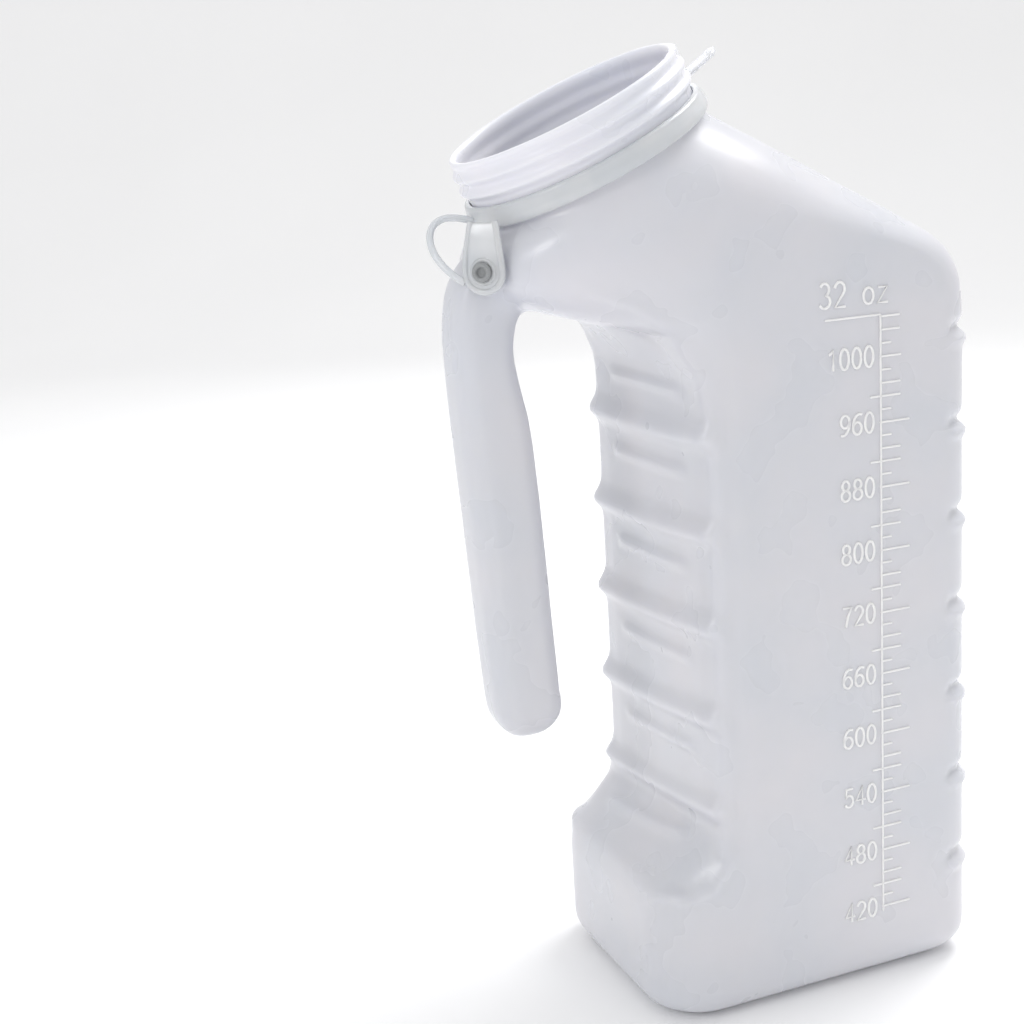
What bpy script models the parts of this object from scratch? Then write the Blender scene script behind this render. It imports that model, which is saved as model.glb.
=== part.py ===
"""Urine bottle with a tilted ridged neck, a hollow side handle and a press-fit cap held by a tether.

Metres, +Z up. The origin is the centre of the base. -X is the handle side, +X the back,
-Y the side with the moulded scale, +Y the far side. The cap is modelled hanging open.
"""
import math

import bmesh
import bpy
from mathutils import Matrix, Vector

# ---------------------------------------------------------------- driving dimensions
WALL = 0.0015               # blow-moulded wall
GAP = 0.0003                # gap between touching pieces

BACK_X = 0.0498             # back wall at the base
BACK_DRAFT = 0.0015         # how much the back wall leans in up to the shoulder
FOOT_X = -0.0502            # front of the bulged foot
GRIP_X = -0.0318            # front wall between the grip ridges
HALF_THICK = 0.0362         # half of the thickness across Y
BASE_ROUND = 0.009          # rounding round the base
CORNER_BACK = 0.0106
CORNER_GRIP = 0.0090
CORNER_FOOT_EXTRA = 0.004   # the foot's front corners are rounder by this much
FOOT_TOP_Z = 0.033          # the foot starts to slope back here
FOOT_SLOPE = 0.021          # height over which it slopes back to the grip
GRIP_CORNER_Z = 0.045       # the corners are the grip's own above this
SHOULDER_Z = 0.172          # where the sections start to fan out toward the neck
SPLIT_Z = 0.1714            # the one moulding is kept as two solids, parted at this height
SPLIT_LOW = Vector((-0.058, -0.06, -0.02))      # the block that parts them stays behind the handle
SPLIT_HIGH = Vector((0.06, 0.06, SPLIT_Z))

RIDGE_PITCH = 0.0258        # the five finger ridges
RIDGE_FIRST_Z = 0.0560
RIDGE_COUNT = 5
RIDGE_RISE = 0.0028
RIDGE_WIDTH = 0.0022
RIDGE_LEVELS = (-0.0045, -0.0018, 0.0, 0.0018, 0.0045)      # sections cut across each ridge

NECK_TILT = math.radians(25.0)
RIM = Vector((-0.0526, 0.0, 0.2445))    # centre of the mouth, in the plane of the lip
NECK_A = 0.0314             # outer half axis of the neck in the plane of symmetry
NECK_B = 0.0294             # outer half axis across Y
NECK_ROOT = 0.0178          # depth of the shoulder below the lip
NECK_RIDGE = 0.0017         # how far the neck's two ridges stand out
FULL_ROUND = 0.985          # share of an oval's half axes given to its corner radii

RING_TOP = 0.0120           # the tether's ring, depths below the lip
RING_BOTTOM = 0.0170
RING_OUT = 0.0034           # how far the ring stands out from the neck

HINGE_TURN = math.radians(24.0)         # the hinge's place round the neck, from +Y toward the back
HINGE_REACH = 0.0385        # hinge axis to neck axis
HINGE_DEPTH = 0.0098        # hinge axis below the lip
HINGE_RADIUS = 0.0011
HINGE_LENGTH = 0.0090
MIDDLE_KNUCKLE = 0.40       # the tether's knuckle, as a share of the hinge's length
END_KNUCKLE = 0.26          # each of the cap's two knuckles
END_KNUCKLE_AT = 0.37       # their centres, from the middle
ARM_THICK = 0.0014
ARM_IN_RING = 0.6           # how deep the arm runs into the ring, as a share of the ring
OPEN_ANGLE = math.radians(183.0)        # from shut to hanging open

CAP_SKIRT = 0.0090          # depth of the cap's skirt below the lip
CAP_CLEAR = 0.0008          # skirt to neck ridges
CAP_WALL = 0.0014
CAP_TOP = 0.0016
TAB_TURN = math.radians(-29.0)
TAB_LENGTH = 0.0125
TAB_WIDTH = 0.0120
TAB_THICK = 0.0011
TAB_DROOP = math.radians(-11.0)
TAB_ROOT_IN = 0.0022        # how far the tab's root lies inside the cap's edge

NECK_UP = Vector((-math.sin(NECK_TILT), 0.0, math.cos(NECK_TILT)))
NECK_SIDE = Vector((math.cos(NECK_TILT), 0.0, math.sin(NECK_TILT)))
ACROSS = Vector((0.0, 1.0, 0.0))
NECK_FRAME = Matrix.Translation(RIM) @ Matrix((NECK_SIDE, ACROSS, NECK_UP)).transposed().to_4x4()



# ---------------------------------------------------------------- scene, materials, helpers
def clear_scene():
    for thing in list(bpy.data.objects):
        bpy.data.objects.remove(thing, do_unlink=True)


def new_collection(name):
    group = bpy.data.collections.new(name)
    bpy.context.scene.collection.children.link(group)
    return group


def material(name, colour, roughness, transmission=0.0):
    made = bpy.data.materials.new(name)
    made.use_nodes = True
    shader = made.node_tree.nodes["Principled BSDF"]
    shader.inputs["Base Color"].default_value = (*colour, 1.0)
    shader.inputs["Roughness"].default_value = roughness
    shader.inputs["Metallic"].default_value = 0.0
    shader.inputs["Transmission Weight"].default_value = transmission
    made.diffuse_color = (*colour, 1.0)
    return made


def add_object(name, mesh_edit, group, finish=None):
    """Turn a bmesh into a named object with its faces pointing out."""
    bmesh.ops.recalc_face_normals(mesh_edit, faces=mesh_edit.faces)
    mesh = bpy.data.meshes.new(name)
    mesh_edit.to_mesh(mesh)
    mesh_edit.free()
    made = bpy.data.objects.new(name, mesh)
    group.objects.link(made)
    if finish:
        mesh.materials.append(finish)
    mesh.shade_smooth()
    mesh.set_sharp_from_angle(angle=math.radians(40))
    return made


def as_cutter(thing):
    thing.hide_render = True
    thing.display_type = "WIRE"
    return thing


def boolean(target, other, operation):
    step = target.modifiers.new(operation.lower(), "BOOLEAN")
    step.operation = operation
    step.object = other
    step.solver = "EXACT"


def loft(rings, closed_path=False):
    """Skin a list of point rings, with end caps unless the path is closed."""
    skin = bmesh.new()
    loops = [[skin.verts.new(point) for point in ring] for ring in rings]
    count = len(loops[0])
    pairs = list(zip(loops, loops[1:]))
    if closed_path:
        pairs.append((loops[-1], loops[0]))
    for low, high in pairs:
        for i in range(count):
            j = (i + 1) % count
            skin.faces.new((low[i], low[j], high[j], high[i]))
    if not closed_path:
        skin.faces.new(loops[0])
        skin.faces.new(loops[-1])
    return skin


# ---------------------------------------------------------------- the bottle
def outline(front, back, half, front_round, back_round, steps=5):
    """Closed outline in (s, y): straight sides and elliptical corners, front at -s."""
    points = []
    corners = ((back, 1.0, back_round, 0.0), (front, 1.0, front_round, 90.0),
               (front, -1.0, front_round, 180.0), (back, -1.0, back_round, 270.0))
    for edge, side, (long_r, wide_r), start in corners:
        inward = -1.0 if edge == back else 1.0
        centre_s = edge + inward * long_r
        centre_y = side * (half - wide_r)
        for k in range(steps + 1):
            angle = math.radians(start + 90.0 * k / steps)
            points.append((centre_s + long_r * math.cos(angle), centre_y + wide_r * math.sin(angle)))
    return points


def plane_ring(origin, side, shape):
    return [origin + side * s + ACROSS * y for s, y in shape]


def smooth_step(value):
    value = min(1.0, max(0.0, value))
    return value * value * (3.0 - 2.0 * value)


def grip_ridges(z):
    """How far the finger ridges stand out at height z."""
    rise = 0.0
    for i in range(RIDGE_COUNT):
        centre = RIDGE_FIRST_Z + i * RIDGE_PITCH
        rise += RIDGE_RISE * math.exp(-((z - centre) / RIDGE_WIDTH) ** 2)
    return rise


def foot_front(z):
    """Front wall of the foot and of the grip above it."""
    blend = smooth_step((z - FOOT_TOP_Z) / FOOT_SLOPE)
    return FOOT_X * (1.0 - blend) + GRIP_X * blend


def body_section(z, inset):
    back = BACK_X - BACK_DRAFT * z / SHOULDER_Z - inset
    front = foot_front(z) - grip_ridges(z) + inset
    half = HALF_THICK - inset
    round_front = CORNER_BACK + CORNER_FOOT_EXTRA * (1.0 - smooth_step((z - FOOT_TOP_Z) / FOOT_SLOPE))
    if z > GRIP_CORNER_Z:
        round_front = CORNER_GRIP
    drop = max(0.0, BASE_ROUND - z)
    if drop:
        cut = BASE_ROUND - math.sqrt(max(0.0, BASE_ROUND ** 2 - drop ** 2))
        back -= cut
        front += cut
        half -= cut
    shape = outline(front, back, half, (round_front, round_front), (CORNER_BACK, CORNER_BACK))
    return plane_ring(Vector((0.0, 0.0, z)), Vector((1.0, 0.0, 0.0)), shape)


HEAD_ROUND_TRIM = 0.02      # share of the inset taken off the head's corner radii
# Fans from the top of the grip to the root of the neck: front point, back point, half
# thickness, front corner radii and back corner radii.
HEAD_FANS = (
    ((-0.0350, 0.1790), (0.0485, 0.1795), 0.0362, (0.012, 0.012), (0.011, 0.011)),
    ((-0.0425, 0.1868), (0.0486, 0.1885), 0.0362, (0.020, 0.018), (0.012, 0.012)),
    ((-0.0540, 0.1905), (0.0478, 0.1970), 0.0362, (0.034, 0.022), (0.014, 0.014)),
    ((-0.0680, 0.1950), (0.0435, 0.2045), 0.0361, (0.050, 0.026), (0.018, 0.017)),
    ((-0.0770, 0.2000), (0.0335, 0.2115), 0.0357, (0.053, 0.028), (0.026, 0.021)),
    ((-0.0792, 0.2050), (0.0185, 0.2205), 0.0347, (0.046, 0.0295), (0.033, 0.024)),
    ((-0.0780, 0.2100), (0.0010, 0.2310), 0.0328, (0.039, 0.0300), (0.033, 0.0270)),
)


def head_section(fan, inset):
    (front_x, front_z), (back_x, back_z), half, front_round, back_round = fan
    front = Vector((front_x, 0.0, front_z))
    back = Vector((back_x, 0.0, back_z))
    side = (back - front).normalized()
    reach = (back - front).length
    trim = inset * HEAD_ROUND_TRIM
    front_round = (front_round[0] - trim, front_round[1] - trim)
    shape = outline(inset, reach - inset, half - inset, front_round, back_round)
    return plane_ring(front, side, shape)


def neck_section(depth, grow):
    long_r = NECK_A + grow
    wide_r = NECK_B + grow
    corner = (long_r * FULL_ROUND, wide_r * FULL_ROUND)
    shape = outline(-long_r, long_r, wide_r, corner, corner)
    return plane_ring(RIM - NECK_UP * depth, NECK_SIDE, shape)


# Outer profile of the neck: depth below the lip and how far it stands out.
NECK_PROFILE = ((NECK_ROOT, 0.0), (0.0096, 0.0), (0.0088, 0.0004), (0.0074, NECK_RIDGE), (0.0060, 0.0004),
                (0.0050, 0.0004), (0.0037, NECK_RIDGE), (0.0024, 0.0006), (0.0010, 0.0012), (0.0, 0.0004))


def body_levels():
    base = [BASE_ROUND * (1.0 - math.cos(math.radians(angle))) for angle in (0, 30, 50, 70, 90)]
    levels = base + [0.016, 0.026, 0.034, 0.039, 0.044, 0.049]
    for i in range(RIDGE_COUNT):
        centre = RIDGE_FIRST_Z + i * RIDGE_PITCH
        levels += [centre + offset for offset in RIDGE_LEVELS]
        levels.append(centre + RIDGE_PITCH / 2)
    return [z for z in levels if z < SHOULDER_Z] + [SHOULDER_Z]


def outer_body():
    rings = [body_section(z, 0.0) for z in body_levels()]
    rings += [head_section(fan, 0.0) for fan in HEAD_FANS]
    rings += [neck_section(depth, grow) for depth, grow in NECK_PROFILE]
    return loft(rings)


def inner_body():
    rings = [body_section(max(z, WALL), WALL) for z in body_levels() if z > WALL]
    rings += [head_section(fan, WALL) for fan in HEAD_FANS]
    rings += [neck_section(depth, -WALL) for depth in (NECK_ROOT, 0.009, 0.001, -0.004)]
    return loft(rings)


# Centre line of the handle from inside the head down: x, z, half width along X, half width across Y.
HANDLE_STATIONS = (
    (-0.0640, 0.2058, 0.0080, 0.0086), (-0.0712, 0.2040, 0.0086, 0.0088), (-0.0762, 0.1980, 0.0092, 0.0088),
    (-0.0782, 0.1900, 0.0086, 0.0088), (-0.0786, 0.1820, 0.0082, 0.0088), (-0.0778, 0.1730, 0.0088, 0.0088),
    (-0.0767, 0.1640, 0.0095, 0.0088), (-0.0757, 0.1500, 0.0097, 0.0088), (-0.0746, 0.1300, 0.0097, 0.0088),
    (-0.0737, 0.1120, 0.0096, 0.0088), (-0.0727, 0.0950, 0.0095, 0.0087),
)
HANDLE_END = ((0.0880, 1.0), (0.0840, 0.90), (0.0808, 0.68), (0.0793, 0.36))


def handle_rings(inset):
    stations = list(HANDLE_STATIONS)
    last_x = HANDLE_STATIONS[-1][0]
    for z, share in HANDLE_END:
        low = z + inset * (1.0 if share < 0.8 else 0.4)
        stations.append((last_x + 0.0008, low, 0.0093 * share, 0.0086 * share))
    centres = [Vector((x, 0.0, z)) for x, z, _, _ in stations]
    rings = []
    for i, (_, _, half_x, half_y) in enumerate(stations):
        ahead = centres[min(i + 1, len(centres) - 1)]
        behind = centres[max(i - 1, 0)]
        along = (ahead - behind).normalized()
        side = ACROSS.cross(along)
        half_x -= inset
        half_y -= inset
        corner = (half_x * 0.66, half_y * 0.66)
        shape = outline(-half_x, half_x, half_y, corner, corner, steps=3)
        rings.append(plane_ring(centres[i], side, shape))
    return rings


def box_between(name, low, high, group):
    solid = bmesh.new()
    place = Matrix.Translation((low + high) / 2) @ Matrix.Diagonal((*(high - low), 1.0))
    bmesh.ops.create_cube(solid, size=1.0, matrix=place)
    return as_cutter(add_object(name, solid, group))


def make_bottle(group, cutters, finish):
    """The moulding's two solids: the vessel below the shoulder, and the head with its neck and handle."""
    handle = as_cutter(add_object("handle_outside", loft(handle_rings(0.0)), cutters))
    hollow = as_cutter(add_object("body_hollow", inner_body(), cutters))
    handle_hollow = as_cutter(add_object("handle_hollow", loft(handle_rings(WALL)), cutters))
    vessel = add_object("vessel", outer_body(), group, finish)
    boolean(vessel, hollow, "DIFFERENCE")
    boolean(vessel, box_between("below_split", SPLIT_LOW, SPLIT_HIGH, cutters), "INTERSECT")
    head = add_object("head", outer_body(), group, finish)
    boolean(head, handle, "UNION")
    boolean(head, hollow, "DIFFERENCE")
    boolean(head, handle_hollow, "DIFFERENCE")
    above = SPLIT_HIGH + Vector((0.0, 0.0, GAP))
    boolean(head, box_between("up_to_head", SPLIT_LOW, above, cutters), "DIFFERENCE")


# ---------------------------------------------------------------- the tether
def oval(points_frame, profile, steps=48):
    """Turn a closed (radius, height) profile round the neck's oval."""
    rings = []
    for k in range(steps):
        angle = 2.0 * math.pi * k / steps
        long_way = math.cos(angle)
        wide_way = math.sin(angle)
        ring = []
        for radius, height in profile:
            wide = radius - NECK_A + NECK_B
            ring.append(points_frame @ Vector((radius * long_way, wide * wide_way, height)))
        rings.append(ring)
    return loft(rings, closed_path=True)


def rod(route, radius, sides=8):
    """A round cord along hand-set points, with flat ends."""
    rings = []
    first = (route[1] - route[0]).orthogonal().normalized()
    for i, point in enumerate(route):
        ahead = route[min(i + 1, len(route) - 1)]
        behind = route[max(i - 1, 0)]
        along = (ahead - behind).normalized()
        first = (first - along * first.dot(along)).normalized()
        second = along.cross(first)
        ring = []
        for k in range(sides):
            angle = 2.0 * math.pi * k / sides
            ring.append(point + (first * math.cos(angle) + second * math.sin(angle)) * radius)
        rings.append(ring)
    return loft(rings)


def plate(outline_points, origin, along, up, thickness):
    """A flat plate from a 2D outline: its back face lies on the plane through origin."""
    out = along.cross(up).normalized()
    low = [origin + along * a + up * b for a, b in outline_points]
    high = [point + out * thickness for point in low]
    return loft([low, high])


def oval_reach(long_r):
    """Distance from the neck's axis to an oval's outline, in the hinge's direction."""
    wide_r = long_r - NECK_A + NECK_B
    return 1.0 / math.hypot(math.sin(HINGE_TURN) / long_r, math.cos(HINGE_TURN) / wide_r)


def hinge_frame():
    """Hinge axis direction, the direction from the neck to the hinge, and a point on the axis."""
    outward = ACROSS * math.cos(HINGE_TURN) + NECK_SIDE * math.sin(HINGE_TURN)
    axis = NECK_SIDE * math.cos(HINGE_TURN) - ACROSS * math.sin(HINGE_TURN)
    return axis, outward, RIM - NECK_UP * HINGE_DEPTH + outward * HINGE_REACH


# The lug is a teardrop plate that hangs from the ring and lies over the near front corner of the
# handle's top. The stud holds its eyelet to the handle.
LUG_FACING = Vector((-0.70, -0.714, 0.0)).normalized()
LUG_ALONG = Vector((0.714, -0.70, 0.0)).normalized()
LUG_UP = Vector((0.0, 0.0, 1.0))
LUG_THICK = 0.0018
LUG_EYE = Vector((-0.0803, -0.0132, 0.2058))    # centre of the eyelet, on the plate's back
LUG_ROUND = 0.0058
STUD_RADIUS = 0.0019
STUD_HEAD = 0.0030
STUD_REACH = 0.0016         # shank behind the plate, down to the handle
STUD_HEAD_THICK = 0.0012
EYELET_CUT = 0.004          # the eyelet's cutter runs this far to each side of the plate


def cylinder(name, start, end, radius, group, sides=24):
    along = end - start
    turned = bmesh.new()
    spin = along.to_track_quat("Z", "Y").to_matrix().to_4x4()
    place = Matrix.Translation((start + end) / 2) @ spin
    bmesh.ops.create_cone(turned, cap_ends=True, segments=sides, radius1=radius, radius2=radius,
                          depth=along.length, matrix=place)
    return add_object(name, turned, group)


def block(name, centre, axes, size, group):
    """A box with the given axis directions and edge lengths."""
    solid = bmesh.new()
    frame = Matrix(axes).transposed().to_4x4()
    scale = Matrix.Diagonal((*size, 1.0))
    bmesh.ops.create_cube(solid, size=1.0, matrix=Matrix.Translation(centre) @ frame @ scale)
    return add_object(name, solid, group)


def smooth_route(points, steps=4):
    """Catmull-Rom curve through hand-set points."""
    ends = [points[0] * 2 - points[1], *points, points[-1] * 2 - points[-2]]
    route = []
    for i in range(1, len(ends) - 2):
        before, start, end, after = ends[i - 1:i + 3]
        for k in range(steps):
            t = k / steps
            route.append(0.5 * (2 * start + (end - before) * t
                                + (2 * before - 5 * start + 4 * end - after) * t * t
                                + (3 * start - before - 3 * end + after) * t ** 3))
    return route + [points[-1]]


def ribbon(route, across, half_widths, thickness):
    """A flat strip along a route, each section half_width to either side."""
    rings = []
    for i, point in enumerate(route):
        along = (route[min(i + 1, len(route) - 1)] - route[max(i - 1, 0)]).normalized()
        flat = (across - along * across.dot(along)).normalized()
        lift = along.cross(flat) * (thickness / 2)
        reach = flat * half_widths[i]
        rings.append([point + reach + lift, point - reach + lift, point - reach - lift, point + reach - lift])
    return loft(rings)


# The lug's upper strip bends in from the plate to the ring.
LUG_MIDDLE = LUG_EYE + LUG_ALONG.cross(LUG_UP).normalized() * (LUG_THICK / 2)
LUG_ROOT_ROUTE = [LUG_MIDDLE + LUG_UP * 0.0020, LUG_MIDDLE + LUG_UP * 0.0055,
                  Vector((-0.0790, -0.0142, 0.2142)), Vector((-0.0770, -0.0136, 0.2166)),
                  Vector((-0.0752, -0.0130, 0.2182))]
LUG_ROOT_HALVES = (0.0054, 0.0050, 0.0042, 0.0040, 0.0036)

STRAP_RADIUS = 0.0009
STRAP_ROUTE = [Vector(point) for point in (
    (-0.0846, -0.0101, 0.2032), (-0.0872, -0.0083, 0.2050), (-0.0896, -0.0048, 0.2085),
    (-0.0903, -0.0015, 0.2128), (-0.0888, 0.0010, 0.2166), (-0.0852, 0.0022, 0.2186),
    (-0.0815, 0.0022, 0.2184), (-0.0772, 0.0015, 0.2172))]


def make_tether(group, cutters, finish):
    inner = NECK_A + GAP
    outer = NECK_A + RING_OUT
    middle = -(RING_TOP + RING_BOTTOM) / 2
    half = (RING_BOTTOM - RING_TOP) / 2
    profile = ((inner, middle + half), (outer - 0.0012, middle + half), (outer, middle + half * 0.3),
               (outer, middle - half * 0.4), (outer - 0.0010, middle - half), (inner, middle - half))
    tether = add_object("tether", oval(NECK_FRAME, profile), group, finish)
    shape = [(LUG_ROUND * 0.93, 0.0035), (-LUG_ROUND * 0.93, 0.0035)]
    for k in range(9):
        angle = math.radians(180.0 + 22.5 * k)
        shape.append((LUG_ROUND * math.cos(angle), LUG_ROUND * math.sin(angle)))
    lug = as_cutter(add_object("lug", plate(shape, LUG_EYE, LUG_ALONG, LUG_UP, LUG_THICK), cutters))
    boolean(tether, lug, "UNION")
    strip = ribbon(LUG_ROOT_ROUTE, LUG_ALONG, LUG_ROOT_HALVES, LUG_THICK)
    root = as_cutter(add_object("lug_root", strip, cutters))
    boolean(tether, root, "UNION")
    strap = as_cutter(add_object("strap", rod(smooth_route(STRAP_ROUTE), STRAP_RADIUS), cutters))
    boolean(tether, strap, "UNION")
    axis, outward, pivot = hinge_frame()
    inward = NECK_AT_RING + outward * oval_reach(NECK_A + RING_OUT * ARM_IN_RING) - pivot
    arm_up = axis.cross(inward.normalized())
    arm = block("hinge_arm", pivot + inward / 2, (axis, inward.normalized(), arm_up),
                (HINGE_LENGTH * MIDDLE_KNUCKLE, inward.length, ARM_THICK), cutters)
    reach = axis * HINGE_LENGTH * MIDDLE_KNUCKLE / 2
    knuckle = cylinder("hinge_knuckle", pivot - reach, pivot + reach, HINGE_RADIUS, cutters, sides=12)
    boolean(tether, as_cutter(arm), "UNION")
    boolean(tether, as_cutter(knuckle), "UNION")
    facing = LUG_ALONG.cross(LUG_UP).normalized()
    deep = facing * EYELET_CUT
    eye = cylinder("eyelet", LUG_EYE - deep, LUG_EYE + deep, STUD_RADIUS + GAP, cutters)
    boolean(tether, as_cutter(eye), "DIFFERENCE")
    return tether


def make_stud(group, cutters, finish):
    facing = LUG_ALONG.cross(LUG_UP).normalized()
    top = LUG_EYE + facing * (LUG_THICK + GAP)
    foot = LUG_EYE - facing * STUD_REACH
    stud = cylinder("stud", foot, top + facing * STUD_HEAD_THICK / 2, STUD_RADIUS, group)
    head = cylinder("stud_head", top, top + facing * STUD_HEAD_THICK, STUD_HEAD, cutters)
    stud.data.materials.append(finish)
    boolean(stud, as_cutter(head), "UNION")
    return stud


# ---------------------------------------------------------------- the cap
NECK_AT_RING = RIM - NECK_UP * ((RING_TOP + RING_BOTTOM) / 2)


def oval_ring(radius, height, steps=48):
    ring = []
    wide = max(radius - NECK_A + NECK_B, radius * 0.9)
    for k in range(steps):
        angle = 2.0 * math.pi * k / steps
        ring.append(NECK_FRAME @ Vector((radius * math.cos(angle), wide * math.sin(angle), height)))
    return ring


def make_cap(group, cutters, finish):
    """The cap is laid out shut on the neck, then swung open about its hinge."""
    inside = NECK_A + NECK_RIDGE + CAP_CLEAR
    outside = inside + CAP_WALL
    roof = GAP
    profile = ((0.006, roof), (inside - 0.0006, roof), (inside, roof - 0.0006), (inside, -CAP_SKIRT),
               (outside, -CAP_SKIRT), (outside, roof + CAP_TOP - 0.0012), (outside - 0.0012, roof + CAP_TOP),
               (0.006, roof + CAP_TOP))
    cap = add_object("cap", loft([oval_ring(*point) for point in profile]), group, finish)
    tab_way = NECK_SIDE * math.cos(TAB_TURN) + ACROSS * math.sin(TAB_TURN)
    tab_wide = NECK_UP.cross(tab_way)
    tab_line = (tab_way * math.cos(TAB_DROOP) + NECK_UP * math.sin(TAB_DROOP)).normalized()
    root = RIM + NECK_UP * (roof + CAP_TOP / 2) + tab_way * (outside - TAB_ROOT_IN)
    shape = [(-TAB_WIDTH * 0.55, 0.0), (TAB_WIDTH * 0.55, 0.0)]
    for k in range(9):
        angle = math.radians(22.5 * k)
        shape.append((TAB_WIDTH / 2 * math.cos(angle), TAB_LENGTH - TAB_WIDTH * 0.2 * (1 - math.sin(angle))))
    tab = add_object("tab", plate(shape, root, tab_wide, tab_line, TAB_THICK), cutters)
    boolean(cap, as_cutter(tab), "UNION")
    axis, outward, pivot = hinge_frame()
    inward = RIM - NECK_UP * (CAP_SKIRT - 0.0016) + outward * (oval_reach(inside) + CAP_WALL * 0.35) - pivot
    arm_up = axis.cross(inward.normalized())
    for side in (-1.0, 1.0):
        offset = axis * side * HINGE_LENGTH * END_KNUCKLE_AT
        reach = axis * HINGE_LENGTH * END_KNUCKLE / 2
        arm = block("cap_arm", pivot + offset + inward / 2, (axis, inward.normalized(), arm_up),
                    (HINGE_LENGTH * END_KNUCKLE, inward.length, ARM_THICK), cutters)
        knuckle = cylinder("cap_knuckle", pivot + offset - reach, pivot + offset + reach,
                           HINGE_RADIUS, cutters, sides=12)
        boolean(cap, as_cutter(arm), "UNION")
        boolean(cap, as_cutter(knuckle), "UNION")
    swing = Matrix.Translation(pivot) @ Matrix.Rotation(-OPEN_ANGLE, 4, axis)
    shut_to_pivot = Matrix.Translation(-pivot)
    for thing in [cap] + [step.object for step in cap.modifiers]:
        thing.data.transform(shut_to_pivot)
        thing.matrix_world = swing
    return cap


clear_scene()
parts = new_collection("urine_bottle")
tools = new_collection("cutters")
frosted = material("frosted_polyethylene", (0.86, 0.88, 0.92), 0.35)
clear_soft = material("clear_soft_polyethylene", (0.80, 0.85, 0.90), 0.25)
cap_soft = material("cap_soft_polyethylene", (0.82, 0.86, 0.90), 0.28)
grey = material("grey_stud_plastic", (0.35, 0.36, 0.37), 0.4)
make_bottle(parts, tools, frosted)
make_tether(parts, tools, clear_soft)
make_stud(parts, tools, grey)
make_cap(parts, tools, cap_soft)
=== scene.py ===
import math

import bmesh
import bpy
import numpy as np
from mathutils import Matrix, Vector


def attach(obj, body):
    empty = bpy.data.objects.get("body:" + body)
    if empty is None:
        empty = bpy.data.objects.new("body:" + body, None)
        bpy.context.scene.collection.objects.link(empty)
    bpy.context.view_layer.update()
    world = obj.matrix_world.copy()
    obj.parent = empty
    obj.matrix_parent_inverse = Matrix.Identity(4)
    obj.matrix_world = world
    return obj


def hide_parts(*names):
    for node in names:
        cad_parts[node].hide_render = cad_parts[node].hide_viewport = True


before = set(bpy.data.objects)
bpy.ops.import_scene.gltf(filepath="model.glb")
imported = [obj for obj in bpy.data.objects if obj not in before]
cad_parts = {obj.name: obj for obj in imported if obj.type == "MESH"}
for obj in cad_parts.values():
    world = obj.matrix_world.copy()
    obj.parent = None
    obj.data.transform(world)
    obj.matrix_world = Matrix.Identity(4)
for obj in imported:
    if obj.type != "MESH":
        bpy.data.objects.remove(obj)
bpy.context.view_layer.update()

# ---------------------------------------------------------------- dimensions, mostly the CAD's own
WALL = 0.0015
GAP = 0.0003
BACK_X = 0.0498
BACK_DRAFT = 0.0015
FOOT_X = -0.0502
GRIP_X = -0.0318
HALF_THICK = 0.0362
BASE_ROUND = 0.009
CORNER_BACK = 0.0106
CORNER_GRIP = 0.0090
SHOULDER_Z = 0.172

RIDGE_PITCH = 0.0258
RIDGE_FIRST_Z = 0.0560
RIDGE_RISE = 0.0028 * 0.86   # a little lower than the CAD's
SIDE_REACH = 0.0335         # from the middle to where the grip turns into the side
GROOVE_COUNT = 7            # the back corners' shallow grooves
GROOVE_FIRST_Z = 0.0319
GROOVE_PITCH = 0.02495

NECK_TILT = math.radians(25.0)
RIM = Vector((-0.0526, 0.0, 0.2445))
NECK_A = 0.0314
NECK_B = 0.0294
NECK_ROOT = 0.0178
SEAM_DEPTH = 0.0146         # where the neck's piece meets the body's, hidden behind the ring
RING_TOP = 0.0120
RING_BOTTOM = 0.0170
RING_OUT = 0.0027
NECK_RIDGE = 0.0017         # the CAD's neck ridges, which the cap clears
OVAL_STEPS = 160

HINGE_TURN = math.radians(24.0)
HINGE_REACH = 0.0385
HINGE_DEPTH = 0.0098
HINGE_RADIUS = 0.0011
HINGE_LENGTH = 0.0090
MIDDLE_KNUCKLE = 0.40       # the tether's knuckle, as a share of the hinge's length
END_KNUCKLE = 0.26          # each of the cap's two knuckles
END_KNUCKLE_AT = 0.37       # their centres, from the middle
ARM_THICK = 0.0014
ARM_BEVEL = 0.0003
ARM_IN_RING = 0.6           # how deep the arm runs into the ring, as a share of the ring
OPEN_ANGLE = math.radians(183.0)
CAP_SKIRT = 0.0090
CAP_CLEAR = 0.0008
CAP_WALL = 0.0014
CAP_TOP = 0.0016
TAB_TURN = math.radians(-29.0)
TAB_DROOP = math.radians(-11.0)
TAB_LENGTH = 0.0125
TAB_WIDTH = 0.0120
TAB_ROOT = 0.0022           # how far the tab starts inside the cap's rim

ACROSS = Vector((0.0, 1.0, 0.0))
NECK_UP = Vector((-math.sin(NECK_TILT), 0.0, math.cos(NECK_TILT)))
NECK_SIDE = Vector((math.cos(NECK_TILT), 0.0, math.sin(NECK_TILT)))
NECK_FRAME = Matrix.Translation(RIM) @ Matrix((NECK_SIDE, ACROSS, NECK_UP)).transposed().to_4x4()

LUG_FACING = Vector((-0.70, -0.714, 0.0)).normalized()
LUG_ALONG = Vector((0.714, -0.70, 0.0)).normalized()
LUG_UP = Vector((0.0, 0.0, 1.0))
LUG_THICK = 0.0018
LUG_EYE = Vector((-0.0803, -0.0132, 0.2058))
LUG_ROUND = 0.0050
LUG_TOP = 0.0118            # heights above the eyelet
LUG_SIDE_FOOT = 0.0015
LUG_BEND_FROM = 0.0050
LUG_BEND = 25.5
STRAP_RADIUS = 0.0009
STUD_RADIUS = 0.0019
STUD_HEAD = 0.0025
STUD_REACH = 0.0016


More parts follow.
